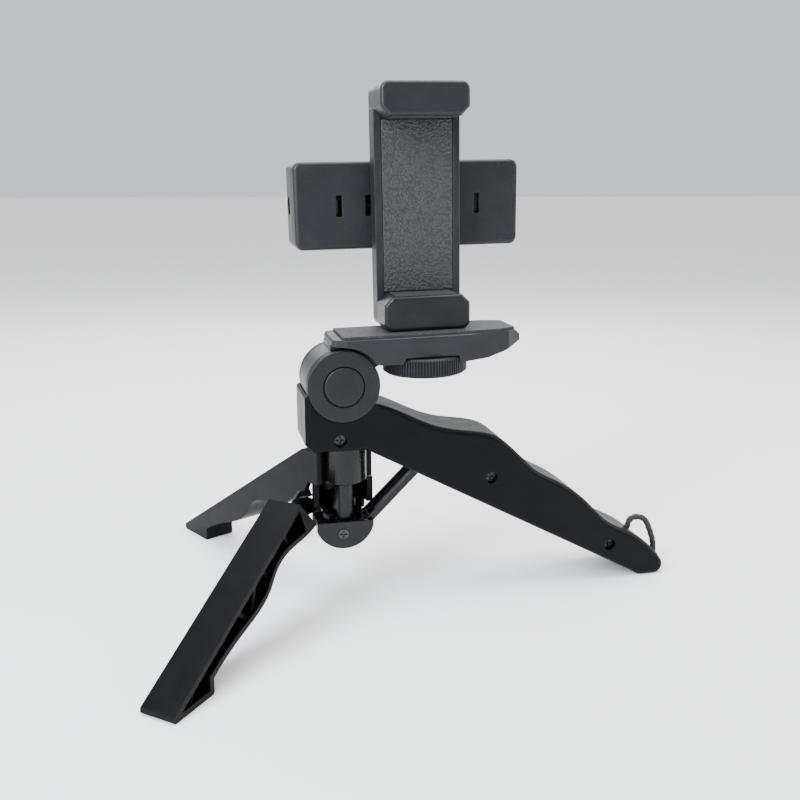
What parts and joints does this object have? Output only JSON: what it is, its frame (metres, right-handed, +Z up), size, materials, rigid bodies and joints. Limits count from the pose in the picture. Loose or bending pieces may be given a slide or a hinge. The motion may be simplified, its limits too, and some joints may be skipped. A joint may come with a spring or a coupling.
{
  "type": "phone holder mini tripod",
  "caption": "Folding pistol-grip mini tripod with a tilting head that carries back-to-back spring clamps for phones.",
  "frame": {"origin": "bottom centre of the whole object's box, on the surface it stands on", "axes": "+Z up, +X along the grip from the column towards the tip, +Y from the screw-head side of the grip to its far side"},
  "size_m": [0.1882, 0.1494, 0.172],
  "materials": {
    "grip_plastic": "fine-textured moulded black plastic",
    "frame_plastic": "satin moulded black plastic",
    "head_plastic": "moulded black plastic",
    "clamp_plastic": "smooth satin black plastic",
    "rubber_pad": "pebbled black rubber",
    "steel": "zinc-plated",
    "black_screw": "black oxide",
    "brass": "turned",
    "strap": "braided black cord"
  },
  "bodies": {
    "grip": {"grip_shell_near": "grip_plastic", "grip_shell_far": "grip_plastic", "grip_screw_top": "black_screw", "grip_screw_mid": "black_screw", "grip_screw_tip": "black_screw", "column_sleeve": "frame_plastic", "column_rod": "frame_plastic", "hub": "frame_plastic", "hub_screw": "steel", "brace": "frame_plastic", "brace_pin_low": "steel", "brace_pin_high": "steel", "hinge_cap_near": "grip_plastic", "hinge_cap_far": "grip_plastic", "hinge_axle": "steel", "axle_screw": "black_screw", "lock_spring": "steel", "strap_anchor": "grip_plastic", "strap_lug": "grip_plastic", "strap_cord": "strap"},
    "near_leg": {"near_leg": "frame_plastic"},
    "far_leg": {"far_leg": "frame_plastic"},
    "head": {"head_platform": "head_plastic", "platform_pad": "rubber_pad", "screw_washer": "steel"},
    "lock_button": {"lock_button": "grip_plastic"},
    "thumbwheel": {"thumbwheel": "head_plastic", "camera_screw": "steel"},
    "front_clip": {"front_clip_body": "clamp_plastic", "front_clip_lower_jaw": "clamp_plastic", "front_clip_pad": "rubber_pad", "front_clip_lower_jaw_pad": "rubber_pad", "front_clip_nut": "brass", "front_clip_spring": "steel", "swivel_stud": "steel", "swivel_washer": "steel"},
    "front_clip_jaw": {"front_clip_upper_jaw": "clamp_plastic", "front_clip_upper_jaw_pad": "rubber_pad"},
    "rear_clip": {"rear_clip_body": "clamp_plastic", "rear_clip_lower_jaw": "clamp_plastic", "rear_clip_pad": "rubber_pad", "rear_clip_lower_jaw_pad": "rubber_pad", "rear_clip_nut": "brass", "rear_clip_spring": "steel"},
    "rear_clip_jaw": {"rear_clip_upper_jaw": "clamp_plastic", "rear_clip_upper_jaw_pad": "rubber_pad"}
  },
  "joints": [
    {"name": "near_leg_swing", "type": "hinge", "parent": "grip", "child": "near_leg", "pos_m": [-0.0268, -0.00496, 0.035], "axis": [0, 0, 1], "range_deg": [0, 129.7]},
    {"name": "far_leg_swing", "type": "hinge", "parent": "grip", "child": "far_leg", "pos_m": [-0.0268, -0.00496, 0.047], "axis": [0, 0, 1], "range_deg": [-118.6, 0]},
    {"name": "head_tilt", "type": "hinge", "parent": "grip", "child": "head", "pos_m": [-0.02777, -0.00496, 0.0766], "axis": [0, 1, 0], "range_deg": [-80, 15]},
    {"name": "lock_button_press", "type": "slide", "parent": "grip", "child": "lock_button", "axis": [0, 1, 0], "range_m": [0, 0.0015], "stiffness_N_per_m": 400, "springref_m": -0.0015},
    {"name": "thumbwheel_turn", "type": "hinge", "parent": "head", "child": "thumbwheel", "pos_m": [0.00169, -0.00496, 0.08232], "axis": [-0.0209, 0, 0.9998], "continuous": true},
    {"name": "front_clip_pan", "type": "hinge", "parent": "head", "child": "front_clip", "pos_m": [0.00145, -0.00496, 0.09337], "axis": [-0.0209, 0, 0.9998], "continuous": true},
    {"name": "front_clip_open", "type": "slide", "parent": "front_clip", "child": "front_clip_jaw", "axis": [-0.0209, 0, 0.9998], "range_m": [0, 0.03], "stiffness_N_per_m": 200, "springref_m": -0.03},
    {"name": "rear_clip_swivel", "type": "hinge", "parent": "front_clip", "child": "rear_clip", "pos_m": [0.00062, 0.01019, 0.13346], "axis": [0, 1, 0], "range_deg": [-90, 0]},
    {"name": "rear_clip_open", "type": "slide", "parent": "rear_clip", "child": "rear_clip_jaw", "axis": [0.9998, 0, 0.0209], "range_m": [0, 0.03], "stiffness_N_per_m": 200, "springref_m": -0.03}
  ]
}
